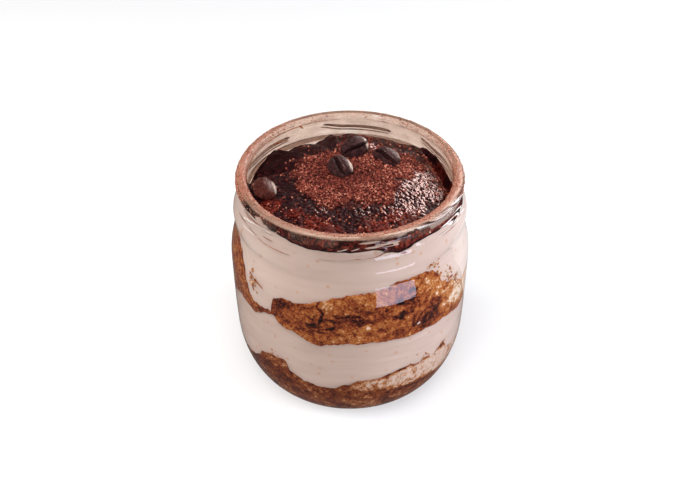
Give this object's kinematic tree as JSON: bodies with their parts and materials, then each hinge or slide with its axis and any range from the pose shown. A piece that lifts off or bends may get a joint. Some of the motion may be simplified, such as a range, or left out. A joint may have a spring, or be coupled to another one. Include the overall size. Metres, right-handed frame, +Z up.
{
  "type": "tiramisu",
  "caption": "Layered tiramisu in a clear glass twist-off jar: soaked sponge and cream in turn, with a cocoa-dusted chocolate dome and coffee beans on top.",
  "frame": {"origin": "middle of the underside, on the plane that the jar stands on", "axes": "+Z up along the jar's axis, -Y towards the front, +X to the right seen from the front"},
  "size_m": [0.085, 0.085, 0.0881],
  "materials": {
    "glass": "clear pressed soda-lime glass",
    "soaked_sponge": "moist coffee-soaked sponge cake, stands in for food",
    "sponge": "crumbly coffee-brown sponge cake, stands in for food",
    "cream": "smooth mascarpone cream, stands in for food",
    "chocolate": "moist dark cocoa and chocolate, dusted with dry powder in the middle, stands in for food",
    "coffee_bean": "roasted coffee bean with a faint oily sheen, stands in for food"
  },
  "bodies": {
    "root": {"jar": "glass", "sponge_lower": "soaked_sponge", "cream_lower": "cream", "sponge_upper": "sponge", "cream_upper": "cream", "chocolate_top": "chocolate", "coffee_bean_1": "coffee_bean", "coffee_bean_2": "coffee_bean", "coffee_bean_3": "coffee_bean", "coffee_bean_4": "coffee_bean"}
  },
  "joints": []
}
